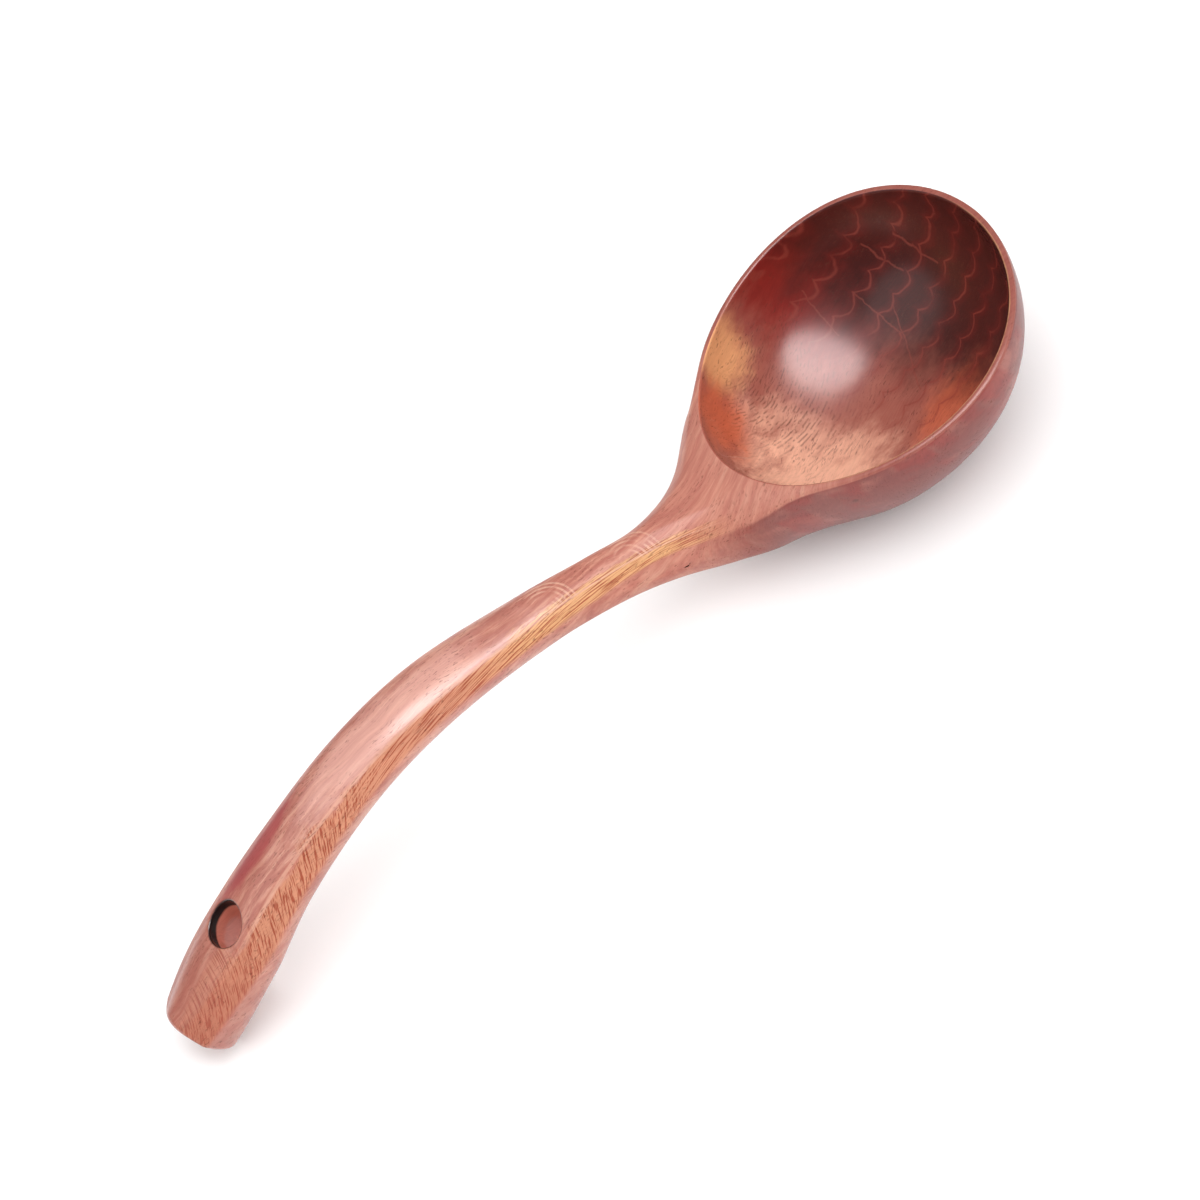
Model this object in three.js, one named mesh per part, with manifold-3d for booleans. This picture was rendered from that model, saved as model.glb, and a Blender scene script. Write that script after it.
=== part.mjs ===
// A carved wooden soup ladle: one solid piece of wood with a round bowl, a flared neck, an arched
// handle with softly bevelled edges and a hanging hole. Millimetres, +Z up, standing on its bowl
// and on the tip of its handle. The ladle lies along X, with the bowl at +X, and is the same on
// both sides of the XZ plane.

import * as THREE from 'three';
import { ParametricGeometry } from 'three/addons/geometries/ParametricGeometry.js';
import { mergeVertices } from 'three/addons/utils/BufferGeometryUtils.js';
import Module from 'manifold-3d';

// ---------------------------------------------------------------- driving dimensions

// Bowl. Lengths run along X from the middle of the opening, heights from the rim there.
const OPENING_LENGTH = 70.8;      // inside the rim, along the ladle
const OPENING_WIDTH = 64.6;       // inside the rim, across the ladle
const EGG = 0.1;                  // how much wider the opening is towards the tip
const RIM_THICKNESS = 1.6;        // wall at the rim
const INNER_DEPTH = 28.5;         // rim to the inside of the bottom
const OUTER_DEPTH = 32.8;         // rim bevel to the underside of the bottom
const DEEPEST_X = -4.0;           // the bowl is deepest a little towards the handle
const INNER_FULLNESS = 2.25;      // 2 is an ellipse, more is squarer
const OUTER_FULLNESS = 2.3;
const RIM_RISE = 3.3;             // the tip side of the rim lies this much above its middle
const RIM_SWEEP = 1.0;            // and both ends are swept up this much more
const RIM_BEVEL = 0.5;

// Handle, as stations from its tip to the middle of the neck: place along X, half the width,
// height of the ridges of its top face, height and width of the bevels outside the ridges, and
// depth of the underside below them.
const HANDLE = [
  { x: -207, half: 3.8, edge: -28.8, bevel: 2.6, inset: 2.6, depth: 14.4 },
  { x: -196, half: 7.4, edge: -21.8, bevel: 3.0, inset: 3.0, depth: 13.3 },
  { x: -185, half: 9.7, edge: -15.0, bevel: 3.6, inset: 3.5, depth: 12.4 },
  { x: -173, half: 10.4, edge: -8.4, bevel: 4.4, inset: 3.6, depth: 10.4 },
  { x: -156, half: 9.4, edge: -0.5, bevel: 6.0, inset: 3.2, depth: 6.9 },
  { x: -133, half: 8.3, edge: 6.5, bevel: 5.6, inset: 2.0, depth: 6.0 },
  { x: -111, half: 7.7, edge: 8.0, bevel: 4.7, inset: 1.5, depth: 5.4 },
  { x: -85, half: 6.2, edge: 3.7, bevel: 3.0, inset: 1.6, depth: 6.6 },
  { x: -69, half: 5.7, edge: -0.7, bevel: 2.3, inset: 1.9, depth: 8.7 },
  { x: -57, half: 6.8, edge: -4.3, bevel: 2.1, inset: 2.6, depth: 11.5 },
  { x: -45, half: 10.7, edge: -6.2, bevel: 1.8, inset: 2.3, depth: 17.2 },
  { x: -33, half: 17.7, edge: -3.9, bevel: 1.2, inset: 1.4, depth: 24.2 },
  { x: -19, half: 22.0, edge: -1.6, bevel: 0.8, inset: 0.8, depth: 19.0 },
];
const HANDLE_CROWN = 1.7;         // the top face is this much higher along its middle
const NECK_CROWN = 2.4;
const HANDLE_CROWN_POWER = 2;     // 2 is round, more is flat with the fall close to the edges
const NECK_CROWN_POWER = 3.5;
const NECK_FLARE = 4.0;           // radius-like size of the flare into the sides of the bowl
const HEEL_BLEND = 11.0;          // the same for the underside
const HANDLE_FULLNESS = 2.6;      // shape of the underside of the handle
const BOWL_FULLNESS = 2.05;       // shape of the bowl across

const HOLE_X = -172.4;            // hanging hole
const HOLE_DIAMETER = 9.2;
const HOLE_TILT = 10;             // degrees, leaning towards the tip of the handle
const END_X = -195.2;             // where the squared-off end meets the bevel of the top face
const END_TILT = 30;              // degrees, the end is square to the sloping handle

const RIM_HEIGHT = 33.4;          // middle of the rim above the table
const MIDDLE_X = 79.3;            // from the middle of the ladle to the middle of the bowl

// Facets
const SECTION_STEPS = 40;         // around the outside
const LENGTH_STEPS = 64;          // along the outside
const OPENING_STEPS = 48;         // around the opening
const DEPTH_STEPS = 12;           // down the inside of the bowl
const HOLE_STEPS = 36;            // around the hanging hole

// ---------------------------------------------------------------- small helpers

const clamp = THREE.MathUtils.clamp;
const lerp = THREE.MathUtils.lerp;
const smoothstep = THREE.MathUtils.smoothstep;
const toRadians = THREE.MathUtils.degToRad;

/** The larger of two values, rounded over where they differ by less than `size`. */
function smoothMax(a, b, size) {
  const overlap = Math.max(size - Math.abs(a - b), 0);
  return Math.max(a, b) + (overlap * overlap) / (4 * size);
}

/** A quarter of a superellipse: 1 at 0, 0 at 1. */
function quarter(u, fullness) {
  return Math.pow(Math.max(1 - Math.pow(Math.abs(u), fullness), 0), 1 / fullness);
}

/** A point on a quarter superellipse: `turn` runs from 0, full width, to 1, full depth. */
function onQuarter(turn, fullness) {
  const angle = clamp(turn, 0, 1) * Math.PI / 2;
  const wide = Math.max(Math.cos(angle), 0) ** (2 / fullness);
  const deep = Math.sin(angle) ** (2 / fullness);
  return { wide: turn >= 1 ? 0 : wide, deep };
}

/** The handle's value `key` at x: a smooth curve through its stations. */
function station(key, x) {
  const last = HANDLE.length - 2;
  let i = HANDLE.findIndex((s) => s.x > x) - 1;
  if (i < 0) i = x < HANDLE[0].x ? 0 : last;
  const slopeAt = (j) => {
    const before = HANDLE[Math.max(j - 1, 0)];
    const after = HANDLE[Math.min(j + 1, HANDLE.length - 1)];
    return (after[key] - before[key]) / (after.x - before.x);
  };
  const a = HANDLE[i];
  const b = HANDLE[i + 1];
  const span = b.x - a.x;
  const t = clamp((x - a.x) / span, 0, 1);
  const t2 = t * t;
  const t3 = t2 * t;
  return (2 * t3 - 3 * t2 + 1) * a[key] + (t3 - 2 * t2 + t) * span * slopeAt(i)
    + (3 * t2 - 2 * t3) * b[key] + (t3 - t2) * span * slopeAt(i + 1);
}

// ---------------------------------------------------------------- the ladle's lines along X

const openingHalfLength = OPENING_LENGTH / 2;
const outerHalfLength = openingHalfLength + RIM_THICKNESS;
const lastStation = HANDLE[HANDLE.length - 1];

/** Height of the rim, swept up to the tip. */
function rimLine(x) {
  const u = x / openingHalfLength;
  return RIM_RISE * u + RIM_SWEEP * u * u;
}

/** Half the width of an egg with the given half length and half width. */
function eggHalfWidth(x, halfLength, halfWidth) {
  const u = clamp(x / halfLength, -1, 1);
  return halfWidth * Math.sqrt(1 - u * u) * (1 + EGG * u);
}

/** Depth of the bowl below its rim at a place `x` along the middle. */
function bowlDepth(x, halfLength, depth, fullness) {
  const reach = x < DEEPEST_X ? halfLength + DEEPEST_X : halfLength - DEEPEST_X;
  return depth * quarter(clamp((x - DEEPEST_X) / reach, -1, 1), fullness);
}

/** 1 on the handle, 0 in the bowl. */
function handleShare(x) {
  return 1 - smoothstep(x, lastStation.x - 24, lastStation.x + 2);
}

/** The outside at x: half widths at the side and at the ridge of the top face, and heights. */
function sectionAt(x) {
  let half = eggHalfWidth(x, outerHalfLength, OPENING_WIDTH / 2 + RIM_THICKNESS);
  let depth = bowlDepth(x, outerHalfLength, OUTER_DEPTH, OUTER_FULLNESS);
  if (x < lastStation.x) {
    half = smoothMax(half, station('half', x), NECK_FLARE);
    depth = smoothMax(depth, station('depth', x), HEEL_BLEND);
  }
  const share = handleShare(x);
  const onHandle = Math.min(x, lastStation.x);
  const edge = lerp(rimLine(x), station('edge', onHandle), share);
  const bevel = lerp(RIM_BEVEL, station('bevel', onHandle), share);
  const neck = smoothstep(x, -90, -50);
  const crown = lerp(HANDLE_CROWN, NECK_CROWN, neck) * share;
  const crownPower = lerp(HANDLE_CROWN_POWER, NECK_CROWN_POWER, neck);
  const fullness = lerp(HANDLE_FULLNESS, BOWL_FULLNESS, smoothstep(x, -75, -35));
  const inset = lerp(RIM_BEVEL, station('inset', onHandle), share);
  const most = 0.45 * half;
  const ridge = half - Math.min(inset, most);
  return { half, depth, edge, bevel: Math.min(bevel, most), ridge, crown, crownPower, fullness };
}

// ---------------------------------------------------------------- surfaces

const TOP_SHARE = 0.25;           // of each half section: the top face,
const BEVEL_SHARE = 0.1;          // its bevel, and the rest is the side and underside

/** A point of the outside: `around` runs once round the section, `along` from end to tip. */
function outsidePoint(around, along, target) {
  const cap = 1 / LENGTH_STEPS;
  const start = HANDLE[0].x + 2;
  const t = clamp((along - cap) / (1 - cap), 0, 1);
  const x = start + (outerHalfLength - start) * Math.sin(t * Math.PI / 2) ** 1.15;
  const s = sectionAt(x);
  const side = around < 0.5 ? -1 : 1;
  const q = 1 - Math.abs(2 * around - 1);
  let y;
  let z;
  if (q <= TOP_SHARE) {
    y = s.ridge * q / TOP_SHARE;
    z = s.edge + s.crown * (1 - (q / TOP_SHARE) ** s.crownPower);
  } else if (q <= TOP_SHARE + BEVEL_SHARE) {
    const down = (q - TOP_SHARE) / BEVEL_SHARE;
    y = lerp(s.ridge, s.half, down);
    z = s.edge - s.bevel * down;
  } else {
    const turn = (q - TOP_SHARE - BEVEL_SHARE) / (1 - TOP_SHARE - BEVEL_SHARE);
    const { wide, deep } = onQuarter(turn, s.fullness);
    y = s.half * wide;
    z = s.edge - s.bevel - s.depth * deep;
  }
  const open = along < cap / 2 ? 0 : 1;
  target.set(x, side * y * open, lerp(s.edge - s.depth / 2, z, open));
}

/** A point of the hollow: `around` runs round the opening, `down` from above it to the bottom. */
function hollowPoint(around, down, target) {
  const angle = -around * 2 * Math.PI;
  const above = 2 / DEPTH_STEPS;
  let scale = 1;
  let depth = -12;
  if (down < above / 4) scale = 0;
  if (down > above * 0.75) {
    const { wide, deep } = onQuarter((down - above) / (1 - above), INNER_FULLNESS);
    scale = wide;
    depth = INNER_DEPTH * deep;
  }
  const u = Math.cos(angle);
  const x = lerp(DEEPEST_X, openingHalfLength * u, scale);
  const y = OPENING_WIDTH / 2 * Math.sin(angle) * (1 + EGG * u) * scale;
  target.set(x, y, rimLine(x) - depth);
}

/** A three.js geometry as a manifold-3d solid. */
function toSolid(wasm, geometry) {
  const bare = geometry.clone();
  bare.deleteAttribute('normal');
  bare.deleteAttribute('uv');
  const merged = mergeVertices(bare, 1e-4);
  const corners = merged.index.array;
  const kept = [];
  for (let i = 0; i < corners.length; i += 3) {
    const [a, b, c] = corners.slice(i, i + 3);
    if (a !== b && b !== c && c !== a) kept.push(a, b, c);
  }
  return new wasm.Manifold(new wasm.Mesh({
    numProp: 3,
    vertProperties: new Float32Array(merged.attributes.position.array),
    triVerts: new Uint32Array(kept),
  }));
}

/** A manifold-3d solid as a three.js geometry. */
function toGeometry(solid) {
  const mesh = solid.getMesh();
  const geometry = new THREE.BufferGeometry();
  geometry.setAttribute('position', new THREE.BufferAttribute(mesh.vertProperties, 3));
  geometry.setIndex(new THREE.BufferAttribute(mesh.triVerts, 1));
  geometry.computeVertexNormals();
  return geometry;
}

/** A block that takes away everything past the flat end of the handle. */
function beyondEnd() {
  const size = 80;
  const place = new THREE.Matrix4().makeTranslation(END_X, 0, sectionAt(END_X).edge)
    .multiply(new THREE.Matrix4().makeRotationY(toRadians(90 - END_TILT)))
    .multiply(new THREE.Matrix4().makeTranslation(0, 0, -size / 2));
  return new THREE.BoxGeometry(size, size, size).applyMatrix4(place);
}

/** A block that takes away everything below the table. */
function belowTable() {
  const length = 600;
  const size = 80;
  return new THREE.BoxGeometry(length, size, size).translate(0, 0, -RIM_HEIGHT - size / 2);
}

/** The hanging hole, longer than the handle is thick. */
function hangingHole() {
  const s = sectionAt(HOLE_X);
  const place = new THREE.Matrix4().makeTranslation(HOLE_X, 0, s.edge - s.depth / 2)
    .multiply(new THREE.Matrix4().makeRotationY(-toRadians(HOLE_TILT)))
    .multiply(new THREE.Matrix4().makeRotationX(Math.PI / 2));
  const radius = HOLE_DIAMETER / 2;
  return new THREE.CylinderGeometry(radius, radius, 50, HOLE_STEPS).applyMatrix4(place);
}

function ladleGeometry(wasm) {
  const outside = new ParametricGeometry(outsidePoint, SECTION_STEPS, LENGTH_STEPS);
  const hollow = new ParametricGeometry(hollowPoint, OPENING_STEPS, DEPTH_STEPS);
  const cuts = [hollow, hangingHole(), beyondEnd(), belowTable()];
  const cut = (solid, geometry) => solid.subtract(toSolid(wasm, geometry));
  return toGeometry(cuts.reduce(cut, toSolid(wasm, outside)));
}

// ---------------------------------------------------------------- the part

const wasm = await Module();
wasm.setup();

const lacqueredWood = new THREE.MeshStandardMaterial({
  name: 'lacquered_wood',
  color: new THREE.Color(0.62, 0.33, 0.25),
  roughness: 0.35,
  metalness: 0,
});

const ladle = new THREE.Mesh(ladleGeometry(wasm), lacqueredWood);
ladle.name = 'ladle';
ladle.position.set(MIDDLE_X, 0, RIM_HEIGHT);

const part = new THREE.Group();
part.add(ladle);

export default part;
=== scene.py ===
"""A carved wooden soup ladle with a clear lacquer, standing on a white studio table.

The ladle's mesh is remade here on the same lines as the CAD part, much finer and with its
edges softened, and takes the place of the CAD node.
"""

import math

import bpy
import numpy as np
from mathutils import Matrix, Vector


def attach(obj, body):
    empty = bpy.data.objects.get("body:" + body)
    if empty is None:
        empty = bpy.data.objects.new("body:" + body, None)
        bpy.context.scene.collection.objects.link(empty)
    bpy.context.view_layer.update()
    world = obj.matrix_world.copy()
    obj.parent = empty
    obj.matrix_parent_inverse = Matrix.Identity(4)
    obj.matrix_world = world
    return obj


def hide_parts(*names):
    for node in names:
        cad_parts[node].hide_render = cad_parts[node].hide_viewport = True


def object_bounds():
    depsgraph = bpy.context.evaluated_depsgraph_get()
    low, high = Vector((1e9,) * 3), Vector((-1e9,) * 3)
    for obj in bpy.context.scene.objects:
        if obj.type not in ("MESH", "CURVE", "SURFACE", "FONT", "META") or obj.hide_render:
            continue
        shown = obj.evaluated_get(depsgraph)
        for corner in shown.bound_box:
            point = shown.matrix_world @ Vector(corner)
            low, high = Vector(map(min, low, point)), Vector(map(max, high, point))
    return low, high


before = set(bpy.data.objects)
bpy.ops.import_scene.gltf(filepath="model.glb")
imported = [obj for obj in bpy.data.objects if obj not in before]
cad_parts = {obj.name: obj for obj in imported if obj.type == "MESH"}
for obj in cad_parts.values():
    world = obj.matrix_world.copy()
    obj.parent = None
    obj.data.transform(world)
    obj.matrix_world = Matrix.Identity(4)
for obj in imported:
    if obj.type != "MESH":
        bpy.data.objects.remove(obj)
cad_low, cad_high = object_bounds()

# ------------------------------------------------------------ the ladle's shape, in millimetres

# The bowl's own frame: X along the ladle from the middle of the rim, Y across, Z up.
OPENING_HALF_LENGTH = 35.4
OPENING_HALF_WIDTH = 32.3
EGG = 0.1                   # how much wider the opening is towards the tip
RIM_THICKNESS = 1.6
INNER_DEPTH = 28.5
OUTER_DEPTH = 32.8
DEEPEST_X = -4.0
INNER_FULLNESS = 2.25       # 2 is an ellipse, more is squarer
OUTER_FULLNESS = 2.3
RIM_RISE = 3.3
RIM_SWEEP = 1.0
RIM_BEVEL = 0.5
RIM_HEIGHT = 33.4           # above the table

# The handle: place along X, half width, height of the ridges of the top face, height and width
# of the bevels outside them, and depth of the underside below those. The first values came from
# a program that fitted the outline in the photograph. They were then moved to other places along
# X and changed.
HANDLE = np.array([
    (-207, 3.8, -28.8, 2.6, 2.6, 14.4),
    (-196, 7.4, -21.8, 3.0, 3.0, 13.3),
    (-185, 9.7, -15.0, 3.6, 3.5, 12.4),
    (-173, 10.4, -8.4, 4.4, 3.6, 10.4),
    (-156, 9.4, -0.5, 6.0, 3.2, 6.9),
    (-133, 8.3, 6.5, 5.6, 2.0, 6.0),
    (-111, 7.7, 8.0, 4.7, 1.5, 5.4),
    (-85, 6.2, 3.7, 3.0, 1.6, 6.6),
    (-69, 5.7, -0.7, 2.3, 1.9, 8.7),
    (-57, 6.8, -4.3, 2.1, 2.6, 11.5),
    (-45, 10.7, -6.2, 1.8, 2.3, 17.2),
    (-33, 17.7, -3.9, 1.2, 1.4, 24.2),
    (-19, 22.0, -1.6, 0.8, 0.8, 19.0),
])
HALF, EDGE, BEVEL, INSET, DEPTH = 1, 2, 3, 4, 5
NECK_END = HANDLE[-1, 0]
BEVEL_LIMIT = 0.45          # no bevel is higher or wider than this share of the half width
HANDLE_CROWN = 1.7          # the top face is this much higher along its middle
NECK_CROWN = 2.4
HANDLE_CROWN_POWER = 2      # 2 is round, more is flat with the fall close to the edges
NECK_CROWN_POWER = 3.5
NECK_FLARE = 4.0
HEEL_BLEND = 11.0
HANDLE_FULLNESS = 2.6
BOWL_FULLNESS = 2.05
HOLE_X = -172.4
HOLE_RADIUS = 4.6
HOLE_TILT = math.radians(10)
END_X = -195.2
END_TILT = math.radians(30)

# The stretches along X over which one shape gives way to another.
HANDLE_TO_BOWL = (NECK_END - 24, NECK_END + 2)
CROWN_TO_NECK = (-90, -50)
UNDERSIDE_TO_BOWL = (-75, -35)

# How far from an edge its rounding starts.
RIDGE_SOFTNESS = 0.8
RIM_SOFTNESS = 0.35
LIP_SOFTNESS = 0.6
HOLE_SOFTNESS = 0.8
END_SOFTNESS = 1.6
FOOT_SOFTNESS = 0.3

OUTER_HALF_LENGTH = OPENING_HALF_LENGTH + RIM_THICKNESS
ORIGIN = np.array([cad_high.x * 1000 - OUTER_HALF_LENGTH, 0, cad_low.z * 1000 + RIM_HEIGHT])


def lerp(a, b, share):
    return a + (b - a) * share


def smoothstep(x, low, high):
    t = np.clip((x - low) / (high - low), 0, 1)
    return t * t * (3 - 2 * t)


def smooth_max(a, b, size):
    """The larger of two values, rounded over where they differ by less than `size`."""
    overlap = np.maximum(size - np.abs(a - b), 0)
    return np.maximum(a, b) + overlap ** 2 / (4 * size)


def quarter(u, fullness):
    """A quarter of a superellipse: 1 at 0, 0 at 1."""
    return np.maximum(1 - np.abs(u) ** fullness, 0) ** (1 / fullness)


def station(column, x):
    """A column of HANDLE at x, on a smooth curve through its stations."""
    places, values = HANDLE[:, 0], HANDLE[:, column]
    before = np.concatenate([[0], np.arange(len(places) - 1)])
    after = np.concatenate([np.arange(1, len(places)), [len(places) - 1]])
    slopes = (values[after] - values[before]) / (places[after] - places[before])
    i = np.clip(np.searchsorted(places, x, side="right") - 1, 0, len(places) - 2)
    span = places[i + 1] - places[i]
    t = np.clip((x - places[i]) / span, 0, 1)
    t2, t3 = t ** 2, t ** 3
    return ((2 * t3 - 3 * t2 + 1) * values[i] + (t3 - 2 * t2 + t) * span * slopes[i]
            + (3 * t2 - 2 * t3) * values[i + 1] + (t3 - t2) * span * slopes[i + 1])


def rim_line(x):
    u = x / OPENING_HALF_LENGTH
    return RIM_RISE * u + RIM_SWEEP * u * u


def handle_share(x):
    """1 on the handle, 0 in the bowl."""
    return 1 - smoothstep(x, *HANDLE_TO_BOWL)


class Section:
    """The outside across the ladle at each x."""

    def __init__(self, x):
        u = x / OUTER_HALF_LENGTH
        # Past the middle of the bowl, half and depth are what is left after a factor `close`
        # that closes the tip is taken out, so that they stay finite there.
        self.close = np.where(x > 0, 1 - u * u, 1)
        narrow = np.sqrt(np.where(x > 0, 1, np.maximum(1 - u * u, 0)))
        half = (OPENING_HALF_WIDTH + RIM_THICKNESS) * narrow * (1 + EGG * u)
        reach = np.where(x < DEEPEST_X, OUTER_HALF_LENGTH + DEEPEST_X,
                         OUTER_HALF_LENGTH - DEEPEST_X)
        along = np.clip((x - DEEPEST_X) / reach, -1, 1)
        depth = OUTER_DEPTH * quarter(along, OUTER_FULLNESS)
        before_bowl = x < NECK_END
        flared = smooth_max(half, station(HALF, x), NECK_FLARE)
        heeled = smooth_max(depth, station(DEPTH, x), HEEL_BLEND)
        self.half = np.where(before_bowl, flared, half)
        self.depth = np.where(before_bowl, heeled, depth)
        share = handle_share(x)
        on_handle = np.minimum(x, NECK_END)
        self.edge = lerp(rim_line(x), station(EDGE, on_handle), share)
        width = self.half * np.sqrt(np.maximum(self.close, 0))
        bevel = lerp(RIM_BEVEL, station(BEVEL, on_handle), share)
        inset = lerp(RIM_BEVEL, station(INSET, on_handle), share)
        most = BEVEL_LIMIT * width
        self.bevel = np.minimum(bevel, most)
        self.ridge = width - np.minimum(inset, most)
        neck = smoothstep(x, *CROWN_TO_NECK)
        self.crown = lerp(HANDLE_CROWN, NECK_CROWN, neck) * share
        self.crown_power = lerp(HANDLE_CROWN_POWER, NECK_CROWN_POWER, neck)
        below = smoothstep(x, *UNDERSIDE_TO_BOWL)
        self.fullness = lerp(HANDLE_FULLNESS, BOWL_FULLNESS, below)
        self.width = width


def above_top(x, y, z):
    s = Section(x)
    out = np.abs(y) / np.maximum(s.ridge, 0.1)
    return z - s.edge - s.crown * (1 - np.minimum(out, 1.5) ** s.crown_power)


def past_bevel(x, y, z):
    s = Section(x)
    run = (s.width - s.ridge) / np.maximum(s.bevel, 0.01)
    return np.abs(y) - s.ridge + (z - s.edge) * run


def past_underside(x, y, z):
    s = Section(x)
    n = s.fullness
    close = np.sign(s.close) * np.abs(s.close) ** (n / 2)
    below = np.maximum(s.edge - s.bevel - z, 0)
    down = np.where(s.close > 0, below / np.maximum(s.depth, 0.01), 0)
    return (np.abs(y) / s.half) ** n + down ** n * np.maximum(close, 0) - close


def egg_radii(count=2880):
    """Directions from the deepest point in plan, and how far the opening's line is that way."""
    turn = np.linspace(-math.pi, math.pi, count * 4)
    x = OPENING_HALF_LENGTH * np.cos(turn) - DEEPEST_X
    y = OPENING_HALF_WIDTH * np.sin(turn) * (1 + EGG * np.cos(turn))
    direction = np.arctan2(y, x)
    order = np.argsort(direction)
    return direction[order], np.hypot(x, y)[order]


EGG_DIRECTIONS, EGG_RADII = egg_radii()


def in_hollow(x, y, z):
    direction = np.arctan2(y, x - DEEPEST_X)
    reach = np.interp(direction, EGG_DIRECTIONS, EGG_RADII)
    out = np.hypot(x - DEEPEST_X, y) / reach
    down = np.maximum(rim_line(x) - z, 0) / INNER_DEPTH
    n = INNER_FULLNESS
    return 1 - (out ** n + down ** n) ** (1 / n)


def in_hole(x, y, z):
    s = Section(np.array([HOLE_X]))
    middle = s.edge[0] - s.depth[0] / 2
    across = (x - HOLE_X) * math.cos(HOLE_TILT) + (z - middle) * math.sin(HOLE_TILT)
    return HOLE_RADIUS - np.hypot(across, y)


def past_end(x, y, z):
    s = Section(np.array([END_X]))
    return -(x - END_X) * math.cos(END_TILT) - (z - s.edge[0]) * math.sin(END_TILT) + 0 * y


def below_table(x, y, z):
    return -RIM_HEIGHT - z + 0 * (x + y)


def distance(field, points, step=0.01):
    """How far each point is outside the field's surface, about, and the way straight out."""
    sides = []
    for axis in np.eye(3):
        ahead = field(*(points + step * axis).T)
        behind = field(*(points - step * axis).T)
        sides.append((ahead - behind) / (2 * step))
    slope = np.stack(sides, 1)
    steepness = np.maximum(np.linalg.norm(slope, axis=1), 1e-6)
    return field(*points.T) / steepness, slope / steepness[:, None]


def join(a, b, size):
    """Cuts a surface by another, with the edge between them rounded over."""
    share = np.clip(0.5 + (a[0] - b[0]) / (2 * size), 0, 1)[:, None]
    return smooth_max(a[0], b[0], size), share * a[1] + (1 - share) * b[1]


def outside(points):
    """How far each point is outside the ladle, about, and the way straight out."""
    softness = lerp(RIM_SOFTNESS, RIDGE_SOFTNESS, handle_share(points[:, 0]))
    surface = join(distance(above_top, points), distance(past_bevel, points), softness)
    surface = join(surface, distance(past_underside, points), softness)
    surface = join(surface, distance(past_end, points), END_SOFTNESS)
    surface = join(surface, distance(in_hole, points), HOLE_SOFTNESS)
    surface = join(surface, distance(in_hollow, points), LIP_SOFTNESS)
    gap, out = join(surface, distance(below_table, points), FOOT_SOFTNESS)
    return gap, out / np.maximum(np.linalg.norm(out, axis=1), 1e-6)[:, None]


# ------------------------------------------------------------ the ladle's mesh

VOXEL = 0.8                 # of the even mesh that it starts from
FINEST = 0.22               # no edge shorter than twice this is split
TURN = math.radians(9)      # an edge whose surface turns more than this is split
SPLIT_ROUNDS = 3
CUT_BAND = (-0.5, -0.1)     # where the wood takes on the look of the hollow or hole beside it


def even_mesh(node):
    """An even mesh of a CAD node: points in millimetres in the bowl's frame, and triangles."""
    start = bpy.data.objects.new("even", node.data.copy())
    bpy.context.scene.collection.objects.link(start)
    remesh = start.modifiers.new("even", "REMESH")
    remesh.mode = "VOXEL"
    remesh.voxel_size = VOXEL / 1000
    depsgraph = bpy.context.evaluated_depsgraph_get()
    mesh = bpy.data.meshes.new_from_object(start.evaluated_get(depsgraph))
    mesh.calc_loop_triangles()
    points = np.empty(len(mesh.vertices) * 3)
    mesh.vertices.foreach_get("co", points)
    triangles = np.empty(len(mesh.loop_triangles) * 3, dtype=np.int64)
    mesh.loop_triangles.foreach_get("vertices", triangles)
    bpy.data.objects.remove(start)
    bpy.data.meshes.remove(mesh)
    return points.reshape(-1, 3) * 1000 - ORIGIN, triangles.reshape(-1, 3)


def edges_of(triangles, count):
    """Each edge once, and for each triangle the numbers of its three edges."""
    ends = np.sort(triangles[:, [[0, 1], [1, 2], [2, 0]]], axis=2)
    keys, index = np.unique(ends[..., 0] * count + ends[..., 1], return_inverse=True)
    return np.stack([keys // count, keys % count], 1), index.reshape(-1, 3)


def settle(points, rounds=4, limit=0.5):
    """Moves points onto the surface, and gives the surface's direction there."""
    for _ in range(rounds):
        gap, out = outside(points)
        points = points - np.clip(gap, -limit, limit)[:, None] * out
    return points, outside(points)[1]


def relax(points, triangles):
    """Moves each point half way to the middle of its neighbours."""
    edges, _ = edges_of(triangles, len(points))
    both = np.concatenate([edges, edges[:, ::-1]])
    near = np.bincount(both[:, 0], minlength=len(points))
    middle = [np.bincount(both[:, 0], points[both[:, 1], i], len(points)) for i in range(3)]
    return lerp(points, np.stack(middle, 1) / near[:, None], 0.5)


def split(points, triangles, out):
    """Splits the edges over which the surface turns much, and the triangles on them."""
    edges, index = edges_of(triangles, len(points))
    ends = points[edges]
    length = np.linalg.norm(ends[:, 1] - ends[:, 0], axis=1)
    turn = np.arccos(np.clip((out[edges[:, 0]] * out[edges[:, 1]]).sum(1), -1, 1))
    marked = (turn > TURN) & (length > 2 * FINEST)
    while (marked[index].sum(1) == 2).any():
        marked[index[marked[index].sum(1) == 2]] = True
    middle = np.cumsum(marked) - 1 + len(points)
    points = np.concatenate([points, ends[marked].mean(1)])
    count = marked[index].sum(1)
    first = marked[index].argmax(1)
    a, b, c = np.take_along_axis(triangles, (first[:, None] + [0, 1, 2]) % 3, 1).T
    ab, bc, ca = middle[np.take_along_axis(index, (first[:, None] + [0, 1, 2]) % 3, 1)].T
    one, three = count == 1, count == 3
    made = [triangles[count == 0]]
    for corners, where in (((a, ab, c), one), ((ab, b, c), one), ((a, ab, ca), three),
                           ((b, bc, ab), three), ((c, ca, bc), three), ((ab, bc, ca), three)):
        made.append(np.stack(corners, 1)[where])
    return points, np.concatenate(made)


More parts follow.
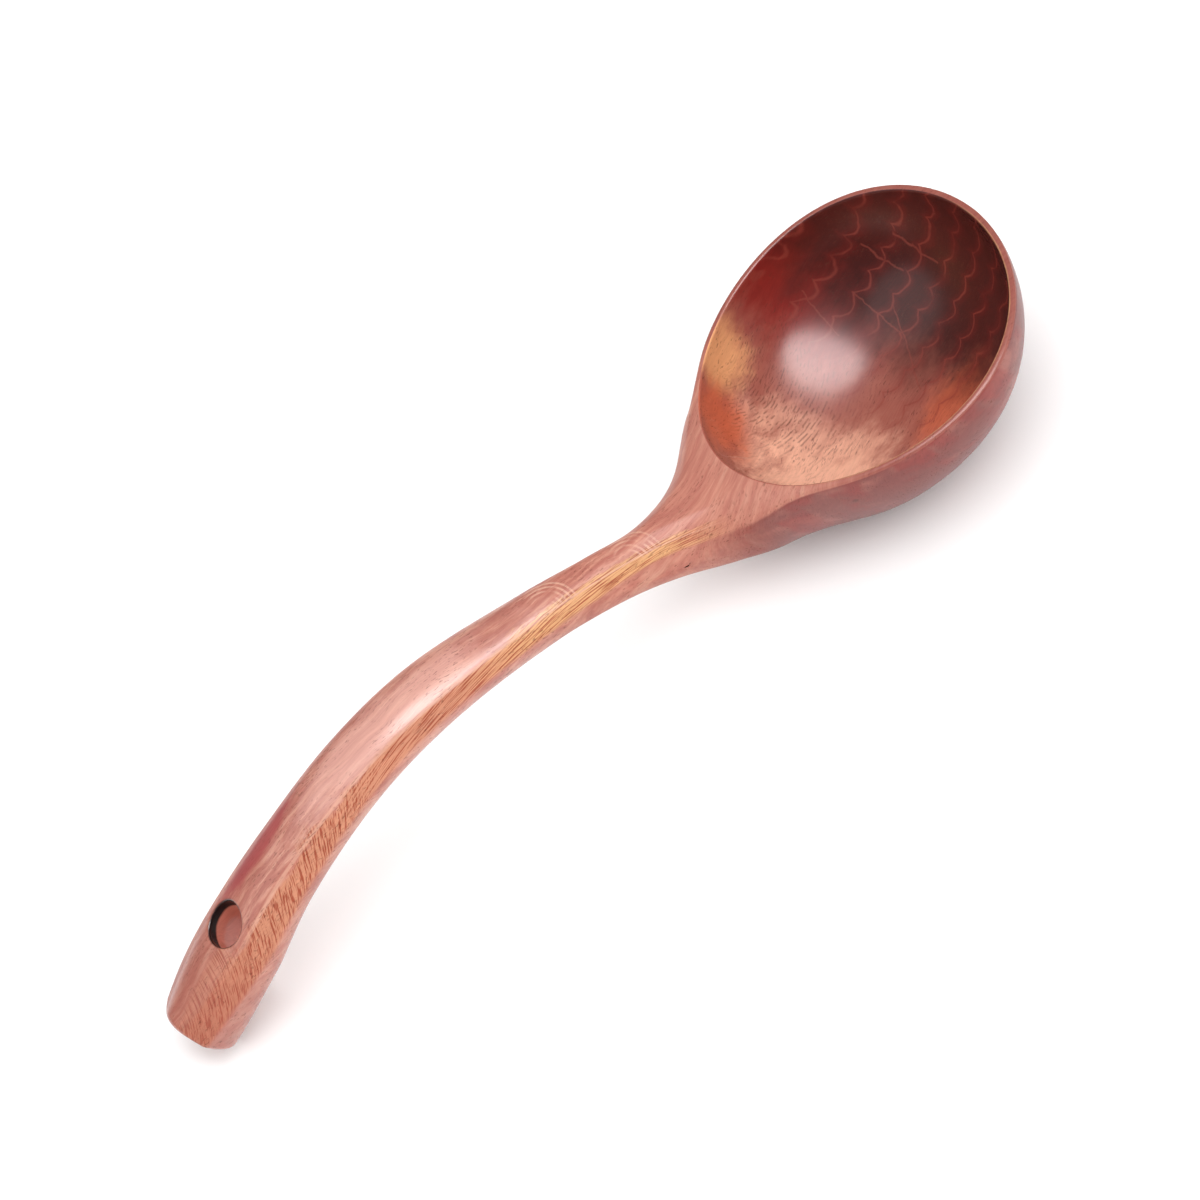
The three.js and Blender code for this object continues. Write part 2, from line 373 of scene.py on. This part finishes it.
def ladle_mesh(node):
    """The fine mesh, with fields that say where on the ladle each point is: `hollow` is 1 in the
    bowl, `hole_wall` is 1 in the hanging hole, and `fallen` runs from 0 at the ridge of the top
    face to 1 at the lower edge of its bevel, and on."""
    points, triangles = even_mesh(node)
    points, out = settle(points)
    points, out = settle(relax(points, triangles))
    for _ in range(SPLIT_ROUNDS):
        points, triangles = split(points, triangles, out)
        points, out = settle(points)
    mesh = bpy.data.meshes.new("lacquered_ladle")
    mesh.from_pydata(((points + ORIGIN) / 1000).tolist(), [], triangles.tolist())
    mesh.shade_smooth()
    mesh.normals_split_custom_set_from_vertices(out.tolist())
    mesh.validate()
    s = Section(points[:, 0])
    fields = {
        "hollow": smoothstep(distance(in_hollow, points)[0], *CUT_BAND),
        "hole_wall": smoothstep(distance(in_hole, points)[0], *CUT_BAND),
        "fallen": np.clip((s.edge - points[:, 2]) / np.maximum(s.bevel, 0.3), -2, 4),
    }
    for name, values in fields.items():
        field = mesh.attributes.new(name, "FLOAT", "POINT")
        field.data.foreach_set("value", values.astype(np.float32))
    return mesh


# ------------------------------------------------------------ material

# Colours of the wood under its lacquer, as linear RGB.
SALMON = (0.44, 0.175, 0.125)
PAINTED_SHEEN_PINK = (0.66, 0.37, 0.31)
ROSE = (0.36, 0.12, 0.09)
PALE = (0.60, 0.33, 0.24)
FLAME = (0.27, 0.048, 0.024)
FLAME_PALE = (0.50, 0.21, 0.125)
WINE = (0.32, 0.05, 0.05)
SAPWOOD = (0.58, 0.30, 0.14)
TAN = (0.80, 0.41, 0.28)
BROWN = (0.33, 0.090, 0.062)
GOLD = (0.70, 0.32, 0.14)
ORANGE = (0.54, 0.11, 0.045)
RED = (0.215, 0.011, 0.008)
MAROON = (0.055, 0.0062, 0.0048)
MAUVE = (0.17, 0.036, 0.030)
RIM = (0.22, 0.050, 0.040)
VEIN = (0.25, 0.045, 0.030)
PORE = (0.09, 0.022, 0.012)
HOLE_WALL = (0.60, 0.19, 0.13)
# painted shade: the near-black of the hole's wall just under the top face
PAINTED_HOLE_SHADE = (0.008, 0.003, 0.003)

# Patches of the figure, and one painted highlight on the handle's top face: the middle of each
# and its reach each way, in millimetres. The middle of the knot is exactly what a program made of
# its place in the photograph.
# painted highlight: where the top face is made paler, as if the lacquer mirrored a light
PAINTED_SHEEN = ((-122, -2, 7), (40, 8, 24))
WINE_STREAK = ((-157, 3.2, -2), (26, 3.6, 14))
TAN_PATCH = ((-13, 7, -25), (29, 24, 23))
GOLD_PATCH = ((-20, 26, -7), (12, 9, 12))
NECK_ORANGE = ((-28, 15, -10), (11, 11, 14))
SIDE_ORANGE = ((9, -11, -24), (17, 9, 13))
LIP_SCALLOPS = ((-27, -2, -12), (13, 20, 14))
PORE_ARCS = ((-13, 14, -20), (19, 19, 22))
KNOT = ((-22.1, -25.5, -9.2), (1.1, 1.1, 1.1))

# The veins of the bowl, in millimetres: rows of scalloped ones, and the ends, seen from above,
# of the straight ones between them. All but the last pair of ends are exactly what a program
# made of places read in the photograph. The last pair was chosen.
VEIN_SPACING = 6.5
VEIN_OFFSET = -1.0
SCALLOP_LENGTH = 7.0
SCALLOP_DEPTH = 1.7
CROSS_VEINS = [
    ((19.4, 25.7), (22.2, 17.6)),
    ((25.7, 21.0), (27.4, 11.0)),
    ((16.3, 16.7), (7.9, -0.4)),
    ((3.9, 29.5), (4.1, 21.5)),
    ((12.0, 24.0), (13.5, 12.0)),
]

PORE_ARC_CENTRE = (-17, 27, -7)
PORE_ARC_SPACING = 0.8

# The handle: pale arcs on its top face, seen from above, and the strokes of its feathered band.
ARC_CENTRES = [(-83, -4), (-63, -4)]
ARC_RADII = (2.5, 6.5)
ARC_SPACING = 1.1
BAND_WIDTH = 5
LONG_STROKES = (10, (9, 0.42))          # slant in degrees, and length and width
SHORT_STROKES = (55, (3.2, 0.38))

# Lacquer
SPECULAR = 0.1              # of the wood under it
COAT_ROUGHNESS = 0.24
BUMP_DISTANCE = 0.001


class Field:
    """A value that varies over the wood: the output of a shader node, with arithmetic."""

    def __init__(self, output):
        self.output = output

    def math(self, operation, *others):
        node = new_node(self.output, "ShaderNodeMath", operation=operation)
        for socket, value in zip(node.inputs, (self, *others)):
            plug(value, socket)
        return Field(node.outputs[0])

    def __add__(self, other):
        return self.math("ADD", other)

    def __sub__(self, other):
        return self.math("SUBTRACT", other)

    def __mul__(self, other):
        return self.math("MULTIPLY", other)

    def __truediv__(self, other):
        return self.math("DIVIDE", other)

    def __abs__(self):
        return self.math("ABSOLUTE")

    def rise(self, low, high):
        """0 below `low`, 1 above `high`, smooth between."""
        node = new_node(self.output, "ShaderNodeMapRange", interpolation_type="SMOOTHSTEP")
        for name, value in (("Value", self), ("From Min", low), ("From Max", high)):
            plug(value, node.inputs[name])
        return Field(node.outputs["Result"])

    def fall(self, low, high):
        """1 below `low`, 0 above `high`, smooth between."""
        return self.rise(low, high) * -1 + 1


def new_node(output, kind, **settings):
    node = output.id_data.nodes.new(kind)
    for name, value in settings.items():
        setattr(node, name, value)
    return node


def plug(value, socket):
    if isinstance(value, Field):
        socket.id_data.links.new(value.output, socket)
    else:
        socket.default_value = value


def vector(x, y, z):
    node = new_node(x.output, "ShaderNodeCombineXYZ")
    for socket, value in zip(node.inputs, (x, y, z)):
        plug(value, socket)
    return Field(node.outputs[0])


def noise(place, size, detail=2, roughness=0.5, shift=0):
    """Noise from 0 to 1 with patches of about `size` (x, y, z) millimetres."""
    x, y, z = place
    at = vector(x / size[0] + shift, y / size[1], z / size[2])
    node = new_node(x.output, "ShaderNodeTexNoise")
    settings = (("Vector", at), ("Scale", 1), ("Detail", detail), ("Roughness", roughness))
    for name, value in settings:
        plug(value, node.inputs[name])
    return Field(node.outputs[0])


def strokes(along, across, slant, size):
    """Noise in strokes of `size` (length, width), turned from `along` by a slant in degrees."""
    cos, sin = math.cos(math.radians(slant)), math.sin(math.radians(slant))
    run = along * cos - across * sin
    over = along * sin + across * cos
    return noise((run, over, along * 0), (*size, 1), 2, 0.6)


def lines(at, spacing, offset=0):
    """How far each place is from the nearest of evenly spaced lines, in the units of `at`."""
    part = (at / spacing + 0.5 - offset / spacing).math("FRACT") - 0.5
    return abs(part) * spacing


def stroke(place, start, end):
    """How far each place is, seen from above, from a straight line between two points."""
    x, y, _ = place
    run = (end[0] - start[0], end[1] - start[1])
    length = math.hypot(*run)
    along = ((x - start[0]) * run[0] + (y - start[1]) * run[1]) / length
    across = ((x - start[0]) * run[1] - (y - start[1]) * run[0]) / length
    past = (abs(along - length / 2) - length / 2).math("MAXIMUM", 0)
    return (past * past + across * across).math("SQRT")


def arcs(place, centre, radii, spacing):
    """1 on thin arcs about a centre seen from above, between two radii."""
    x, y, _ = place
    away = ((x - centre[0]) * (x - centre[0]) + (y - centre[1]) * (y - centre[1])).math("SQRT")
    ring = lines(away, spacing).fall(0.12, 0.34)
    return ring * away.rise(radii[0] - 0.8, radii[0]) * away.fall(radii[1], radii[1] + 0.8)


def near_distance(place, centre, reach=(1, 1, 1)):
    """How far each place is from a centre, in units of `reach` (x, y, z)."""
    parts = [(p - c) / r for p, c, r in zip(place, centre, reach)]
    return (parts[0] * parts[0] + parts[1] * parts[1] + parts[2] * parts[2]).math("SQRT")


def near(place, centre, reach, ragged=None):
    """1 about a centre, falling to 0 at `reach` (x, y, z) from it."""
    away = near_distance(place, centre, reach)
    if ragged is not None:
        away = away + ragged
    return away.fall(0.35, 1.0)


def blend(under, over, share):
    """One colour, or a field of colours, laid over another."""
    node = new_node(share.output, "ShaderNodeMix", data_type="RGBA")
    plug(share, node.inputs[0])
    for value, socket in ((under, node.inputs[6]), (over, node.inputs[7])):
        plug(value if isinstance(value, Field) else (*value, 1), socket)
    return Field(node.outputs[2])


def wood_places(tree):
    """The ladle's own x, y and z in millimetres, from the middle of the rim."""
    position = tree.nodes.new("ShaderNodeTexCoord").outputs["Object"]
    parts = tree.nodes.new("ShaderNodeSeparateXYZ")
    tree.links.new(position, parts.inputs[0])
    return [Field(parts.outputs[i]) * 1000 - float(ORIGIN[i]) for i in range(3)]


def attribute(tree, name):
    node = tree.nodes.new("ShaderNodeAttribute")
    node.attribute_name = name
    return Field(node.outputs["Fac"])


class Grain:
    """What the parts of the figure share: places, the mesh's fields, layers and noises."""

    def __init__(self, tree):
        self.place = wood_places(tree)
        x, y, z = self.place
        self.hollow = attribute(tree, "hollow")
        self.hole_wall = attribute(tree, "hole_wall")
        self.fallen = attribute(tree, "fallen")
        self.on_bowl = x.rise(-54, -34)
        # Growth layers stand upright along the ladle, and swing outwards at the neck.
        self.wander = (noise(self.place, (34, 13, 13), 2) - 0.5) * 5
        self.ripple = (noise(self.place, (7, 4, 4), 2, shift=9) - 0.5) * 1.3
        self.layer = y + z * 0.25 + x.fall(-55, 15) * 26 + self.wander + self.ripple
        self.patch = noise(self.place, (22, 9, 9), 3, 0.6, shift=3)
        self.mottle = noise(self.place, (9, 5, 5), 4, 0.62, shift=5) - 0.5
        self.fine = noise((x, self.layer, z), (22, 0.4, 2.4), 3, 0.72, shift=8)
        # Pores are dashes along the layers, and lie in crowds.
        dashes = noise((x, self.layer, z), (1.3, 0.28, 0.6), 1, 0.5, shift=2)
        crowd = noise(self.place, (11, 5, 5), 3, shift=4)
        self.pores = dashes.rise(0.6, 0.7) * crowd.rise(0.36, 0.6)


def top_colour(grain):
    """The handle's and neck's plain figure, with a painted highlight along the middle and a
    wine-red streak.
    """
    x, _, z = grain.place
    figure = noise((x, grain.layer, z), (16, 1.4, 5), 5, 0.7)
    figure = (figure - 0.5) * (x.fall(-75, -45) * 0.5 + 0.5) + 0.5
    colour = blend(SALMON, ROSE, figure.rise(0.44, 0.6))
    colour = blend(colour, PALE, figure.fall(0.32, 0.5) * 0.45)
    # painted highlight: a pink sheen laid over the middle of the top face
    colour = blend(colour, PAINTED_SHEEN_PINK, near(grain.place, *PAINTED_SHEEN, grain.mottle) * 0.55)
    return blend(colour, WINE, near(grain.place, *WINE_STREAK, grain.mottle) * 0.9)


def feathered(grain):
    """Slanting strokes, long by the neck and short towards the tip, on pale wood."""
    x, _, _ = grain.place
    across = grain.fallen * BAND_WIDTH + grain.wander * 0.5
    long_strokes = strokes(x, across, *LONG_STROKES)
    short_strokes = strokes(x, across, *SHORT_STROKES)
    feather = blend(long_strokes, short_strokes, x.fall(-150, -122))
    ground = blend(SAPWOOD, FLAME_PALE, (x + grain.mottle * 20).fall(-112, -84))
    return blend(ground, FLAME, feather.rise(0.47, 0.6) * 0.9)


def handle_colour(grain):
    """The handle and neck, with a feathered band and a painted highlight on the ridge along their
    near edge.
    """
    x, y, _ = grain.place
    mottle, fallen = grain.mottle, grain.fallen
    on_handle = x.fall(-58, -40)
    spread = x.fall(-192, -172) * 1.6 + x.rise(-104, -80) * 0.3 + mottle * 1.2
    sink = fallen + mottle * 0.5
    band = (fallen + spread).rise(-0.12, 0.12) * sink.fall(0.9, 1.4) * y.fall(-3, -1)
    colour = blend(top_colour(grain), feathered(grain), band * on_handle)
    colour = blend(colour, BROWN, (x + mottle * 12).fall(-190, -162) * 0.55)
    # painted highlight: a pale line along the near ridge, where it would catch the light
    ridge = abs(fallen).fall(0.03, 0.08) * y.fall(-3, -2) * on_handle * x.rise(-184, -166)
    colour = blend(colour, PALE, ridge * 0.55)
    for centre in ARC_CENTRES:
        ring = arcs(grain.place, centre, ARC_RADII, ARC_SPACING)
        light = ring * (y - centre[1]).rise(-0.5, 1.0)
        broken = (x - centre[0]).rise(-3, 0) * (mottle + 0.5).rise(0.35, 0.6)
        colour = blend(colour, PALE, light * broken * 0.8)
    return colour


def hollow_colour(grain):
    """The inside of the bowl, from pale and golden by the handle to dark at the tip."""
    x, y, _ = grain.place
    place, mottle = grain.place, grain.mottle
    pale = (x * 0.7 + y * 0.5 + mottle * 16).fall(-12, 2)
    colour = blend(BROWN, TAN, near(place, *TAN_PATCH, mottle * 1.3) * pale)
    colour = blend(colour, GOLD, near(place, *GOLD_PATCH, mottle))
    colour = blend(colour, ORANGE, near(place, *NECK_ORANGE, mottle) * 0.9)
    colour = blend(colour, ORANGE, near(place, *SIDE_ORANGE, mottle) * 0.8)
    red = (x + (y - 20) * 0.5 + mottle * 16).rise(-12, 4)
    colour = blend(colour, RED, red * (y + mottle * 12).rise(4, 22) * 0.95)
    dark = (x + (y - 5) * 0.25 + mottle * 16).rise(1, 20)
    return blend(colour, MAROON, dark * 0.96)


def wood_colour(grain):
    """The handle, the rim, the outside and inside of the bowl, and the pale lip between them."""
    x, y, _ = grain.place
    hollow = grain.hollow
    colour = blend(handle_colour(grain), RIM, x.rise(-30, -14) * 0.75)
    side = blend(MAUVE, ROSE, grain.patch.rise(0.45, 0.7) * 0.6)
    below_rim = (grain.fallen + grain.mottle * 0.4).rise(0.9, 1.5)
    colour = blend(colour, side, below_rim * grain.on_bowl * 0.9)
    colour = blend(colour, hollow_colour(grain), hollow.rise(0.4, 0.6))
    lip = hollow.rise(0.0, 0.3) * hollow.fall(0.7, 1.0) * (y - x * 0.4).fall(-24, -2)
    return blend(colour, SAPWOOD, lip * 0.5)


def with_veins(colour, grain):
    """Adds the bowl's veins: long scalloped lines along it, tied by a few short ones."""
    x, y, z = grain.place
    mottle, ripple = grain.mottle, grain.ripple
    uneven = (noise(grain.place, (6, 5, 8), 2, shift=12) - 0.5) * 4
    scallop = ((x + z * 0.6 + grain.wander + uneven) / SCALLOP_LENGTH).math("FRACT") - 0.5
    row = y + z * 0.2 + ripple * 1.2 - scallop * scallop * 4 * SCALLOP_DEPTH
    long_vein = lines(row, VEIN_SPACING, VEIN_OFFSET)
    wavy = (x + ripple * 1.5 + mottle, y, z)
    tie = stroke(wavy, *CROSS_VEINS[0])
    for ends in CROSS_VEINS[1:]:
        tie = tie.math("MINIMUM", stroke(wavy, *ends))
    strength = noise(grain.place, (12, 6, 6), 2, shift=7).rise(0.3, 0.5)
    vein = (long_vein + mottle * 0.4).fall(0.0, 0.45) * strength
    vein = vein.math("MAXIMUM", (tie + mottle * 0.3).fall(0.02, 0.3) * 0.9)
    in_dark = grain.hollow * (x + y * 0.3 + mottle * 10).rise(-10, 8)
    colour = blend(colour, VEIN, vein * in_dark * 0.6)
    colour = blend(colour, RED, long_vein.fall(0.2, 2.4) * in_dark * 0.2)
    by_lip = near(grain.place, *LIP_SCALLOPS, mottle) * grain.hollow
    colour = blend(colour, PALE, vein * by_lip * 0.5)
    outer = (grain.fallen + mottle * 0.4).rise(1.0, 1.4) * grain.on_bowl
    outer = outer * (grain.hollow * -1 + 1)
    stain = long_vein.fall(0.5, 2.2) * grain.patch.rise(0.4, 0.55)
    return blend(colour, RED, stain * outer * 0.5)


def with_pores(colour, grain):
    """Adds the pores, and arcs of them across the pale wood of the bowl."""
    colour = blend(colour, PORE, grain.pores * 0.5)
    away = near_distance(grain.place, PORE_ARC_CENTRE) + grain.ripple
    breaks = noise(grain.place, (1.5, 1.5, 1.5), 2, shift=6).rise(0.46, 0.58)
    shown = near(grain.place, *PORE_ARCS, grain.mottle) * grain.hollow
    arc = lines(away, PORE_ARC_SPACING).fall(0.05, 0.24) * breaks * shown
    return blend(colour, PORE, arc * 0.5)


def with_knot_and_hole(colour, grain):
    """Adds the knot outside the bowl, and the hanging hole's wall, with painted shade near the
    top face.
    """
    colour = blend(colour, PORE, near(grain.place, *KNOT) * 0.8)
    # painted shade: the wall's upper part, under the top face's edge, is painted near black
    wall_with_painted_shade = blend(PAINTED_HOLE_SHADE, HOLE_WALL, (grain.fallen + grain.mottle * 0.3).rise(0.3, 0.5))
    return blend(colour, wall_with_painted_shade, grain.hole_wall)


def with_streaks(colour, grain):
    """Makes the wood lighter and darker in fine streaks along its layers."""
    node = new_node(colour.output, "ShaderNodeHueSaturation")
    plug(colour, node.inputs["Color"])
    plug(grain.fine * 0.5 + 0.76, node.inputs["Value"])
    return Field(node.outputs[0])


def add_lacquer(shader, grain):
    """A clear coat, a little uneven, and thin on the bevels, the neck and outside the bowl."""
    x, _, _ = grain.place
    worn = noise(grain.place, (30, 18, 18), 3, shift=11)
    plug(worn * 0.16 + 0.40 + grain.pores * 0.2, shader.inputs["Roughness"])
    height = worn * 0.08 + grain.fine * 0.008 - grain.pores * 0.02 + grain.mottle * 0.012
    bump = new_node(height.output, "ShaderNodeBump")
    plug(height, bump.inputs["Height"])
    plug(BUMP_DISTANCE, bump.inputs["Distance"])
    plug(Field(bump.outputs[0]), shader.inputs["Normal"])
    plug(SPECULAR, shader.inputs["Specular IOR Level"])
    bevel = grain.fallen.rise(-0.2, 0) * grain.fallen.fall(1.0, 1.3) * x.fall(-60, -45)
    neck = x.rise(-92, -76) * x.fall(-42, -34)
    thin = bevel.math("MAXIMUM", neck) * 0.8 + x.rise(-42, -34) * 0.5
    coat = (thin * (grain.hollow - 1) + 1).math("MAXIMUM", 0)
    plug(coat, shader.inputs["Coat Weight"])
    plug(COAT_ROUGHNESS, shader.inputs["Coat Roughness"])


def lacquered_wood():
    material = bpy.data.materials.new("lacquered_wood")
    material.use_nodes = True
    grain = Grain(material.node_tree)
    colour = wood_colour(grain)
    for layer in (with_veins, with_pores, with_knot_and_hole, with_streaks):
        colour = layer(colour, grain)
    shader = material.node_tree.nodes["Principled BSDF"]
    plug(colour, shader.inputs["Base Color"])
    add_lacquer(shader, grain)
    return material


ladle = bpy.data.objects.new("lacquered_ladle", ladle_mesh(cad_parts["ladle"]))
bpy.context.scene.collection.objects.link(ladle)
ladle.data.materials.append(lacquered_wood())
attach(ladle, "root")
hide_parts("ladle")

# ------------------------------------------------------------ table, light and camera

CAMERA_AIM = Vector((0.0065, -0.0012, 0.0254))
CAMERA_DISTANCE = 0.9184
CAMERA_AZIMUTH = math.radians(-6.77)
CAMERA_ELEVATION = math.radians(50.3)
CAMERA_ROLL = math.radians(-36.3)
CAMERA_LENS = 135           # millimetres
CAMERA_SENSOR = 36          # millimetres, square
CAMERA_NEAREST = 0.05

TABLE_REACH = 4.0
TABLE_WHITE = (0.9, 0.9, 0.9, 1)
TABLE_ROUGHNESS = 0.8

ROOM = 1.15                 # light from all round,
ROOM_IN_MIRROR = 0.06       # and as the lacquer mirrors it
SOFTBOX_SIZE = (0.62, 1.9)
SOFTBOX_PLACE = Vector((0.277, -0.551, 1.059))
SOFTBOX_ALONG = (0.48, -0.79, -0.39)
SOFTBOX_TARGET = Vector((0.08, 0, 0.01))
SOFTBOX_GLOW = 2.9          # as it lights the wood,
SOFTBOX_GLINT = 10.0        # and as the lacquer mirrors it
GLINT_NEARNESS = 0.98       # the mirrored light hangs just in front of the other
SCREEN_SIZE = (1.0, 1.0)    # a dim screen past the end of the handle, seen only in the lacquer
SCREEN_PLACE = Vector((-0.71, 0.04, 0.78))
SCREEN_ALONG = (0, 1, 0)
SCREEN_TARGET = Vector((-0.07, 0, 0.03))
SCREEN_GLINT = 0.8


def make_floor():
    mesh = bpy.data.meshes.new("table")
    sides = [(-1, -1), (1, -1), (1, 1), (-1, 1)]
    corners = [(TABLE_REACH * x, TABLE_REACH * y, 0) for x, y in sides]
    mesh.from_pydata(corners, [], [(0, 1, 2, 3)])
    floor = bpy.data.objects.new("table", mesh)
    bpy.context.scene.collection.objects.link(floor)
    material = bpy.data.materials.new("white_table")
    material.use_nodes = True
    shader = material.node_tree.nodes["Principled BSDF"]
    shader.inputs["Base Color"].default_value = TABLE_WHITE
    shader.inputs["Roughness"].default_value = TABLE_ROUGHNESS
    mesh.materials.append(material)


def area_light(name, size, glow, place, target, along):
    """An ellipse as bright as `glow`, facing a target, its long axis turned `along` a way."""
    data = bpy.data.lights.new(name, "AREA")
    data.shape = "ELLIPSE"
    data.size, data.size_y = size
    area = math.pi / 4 * size[0] * size[1]
    data.energy = glow * math.pi * area
    light = bpy.data.objects.new(name, data)
    bpy.context.scene.collection.objects.link(light)
    back = (place - target).normalized()
    across = Vector(along).cross(back).normalized()
    turn = Matrix((across, back.cross(across), back)).transposed()
    light.matrix_world = Matrix.Translation(place) @ turn.to_4x4()
    return light


def make_lights():
    """A softbox over the bowl, with lights for what the lacquer mirrors of it and of a screen."""
    glow = area_light("softbox", SOFTBOX_SIZE, SOFTBOX_GLOW, SOFTBOX_PLACE, SOFTBOX_TARGET,
                      SOFTBOX_ALONG)
    glow.visible_glossy = False
    nearer = SOFTBOX_TARGET.lerp(SOFTBOX_PLACE, GLINT_NEARNESS)
    glint = area_light("glint", SOFTBOX_SIZE, SOFTBOX_GLINT, nearer, SOFTBOX_TARGET,
                       SOFTBOX_ALONG)
    glint.visible_diffuse = False
    screen = area_light("screen", SCREEN_SIZE, SCREEN_GLINT, SCREEN_PLACE, SCREEN_TARGET,
                        SCREEN_ALONG)
    screen.visible_diffuse = False


def make_world():
    world = bpy.data.worlds.new("studio")
    world.use_nodes = True
    background = world.node_tree.nodes["Background"]
    background.inputs["Color"].default_value = (1, 1, 1, 1)
    # The lacquer mirrors a dim room, although light comes from all round.
    glossy = Field(world.node_tree.nodes.new("ShaderNodeLightPath").outputs["Is Glossy Ray"])
    plug(glossy * (ROOM_IN_MIRROR - ROOM) + ROOM, background.inputs["Strength"])
    bpy.context.scene.world = world


def make_camera():
    data = bpy.data.cameras.new("camera")
    data.lens = CAMERA_LENS
    data.sensor_width = CAMERA_SENSOR
    data.clip_start = CAMERA_NEAREST
    camera = bpy.data.objects.new("camera", data)
    bpy.context.scene.collection.objects.link(camera)
    turn = (Matrix.Rotation(CAMERA_AZIMUTH, 4, "Z")
            @ Matrix.Rotation(math.pi / 2 - CAMERA_ELEVATION, 4, "X")
            @ Matrix.Rotation(CAMERA_ROLL, 4, "Z"))
    back = turn.to_3x3() @ Vector((0, 0, 1))
    camera.matrix_world = Matrix.Translation(CAMERA_AIM + CAMERA_DISTANCE * back) @ turn
    bpy.context.scene.camera = camera


make_floor()
make_world()
make_lights()
make_camera()
bpy.context.scene.view_settings.view_transform = "Standard"
